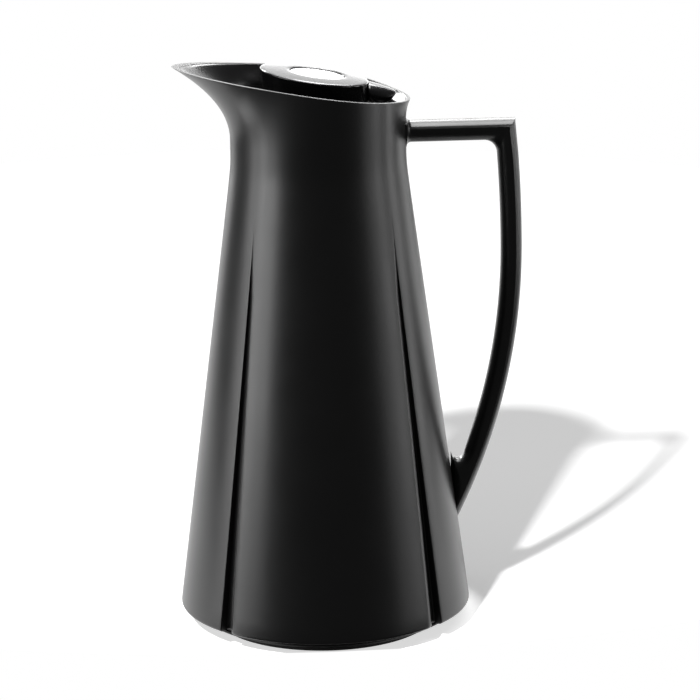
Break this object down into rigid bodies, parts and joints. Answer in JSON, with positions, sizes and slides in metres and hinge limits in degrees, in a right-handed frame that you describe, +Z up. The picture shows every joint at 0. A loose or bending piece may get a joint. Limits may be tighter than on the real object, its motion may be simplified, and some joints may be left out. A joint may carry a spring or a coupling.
{
  "type": "vacuum coffee jug",
  "caption": "Cone-shaped insulated coffee jug with a pouring spout, a bowed handle and a lift-out stopper whose round steel button opens the pouring valve.",
  "frame": {"origin": "on the body's vertical axis, on the surface that the jug stands on", "axes": "+Z up, +X towards the handle, so the spout points along -X, +Y completes the right-handed set"},
  "size_m": [0.1709, 0.1436, 0.2805],
  "materials": {
    "shell": "satin black",
    "handle": "satin black",
    "collar": "gloss black",
    "lid": "gloss black",
    "base": "fine texture, black",
    "pad": "matt black",
    "button": "fine circular brushing",
    "stopper_housing": "natural, satin",
    "seal": "translucent silicone",
    "liner_glass": "silvered glass",
    "spacer": "pressed fibre",
    "screw": "zinc plated",
    "valve_metal": "plain stainless"
  },
  "bodies": {
    "jug": {"outer_shell": "shell", "handle": "handle", "handle_screw_upper": "screw", "handle_screw_lower": "screw", "pouring_collar": "collar", "neck_gasket": "seal", "flask_outer_wall": "liner_glass", "flask_inner_wall": "liner_glass", "flask_spacer_1": "spacer", "flask_spacer_2": "spacer", "flask_spacer_3": "spacer", "flask_cushion": "seal", "flask_support": "base", "base_cap": "base", "foot_pad": "pad"},
    "stopper": {"stopper_body": "stopper_housing", "stopper_cap": "lid", "stopper_seal": "seal", "return_spring": "valve_metal"},
    "valve_plunger": {"push_button": "button", "button_carrier": "stopper_housing", "valve_stem": "valve_metal", "valve_plate": "stopper_housing", "valve_seal": "seal", "valve_nut": "valve_metal"}
  },
  "joints": [
    {"name": "stopper_lift", "type": "slide", "parent": "jug", "child": "stopper", "axis": [0, 0, 1], "range_m": [0, 0.075]},
    {"name": "button_press", "type": "slide", "parent": "stopper", "child": "valve_plunger", "axis": [0, 0, -1], "range_m": [0, 0.004], "stiffness_N_per_m": 700, "springref_m": -0.002, "deforming": ["return_spring"]}
  ]
}
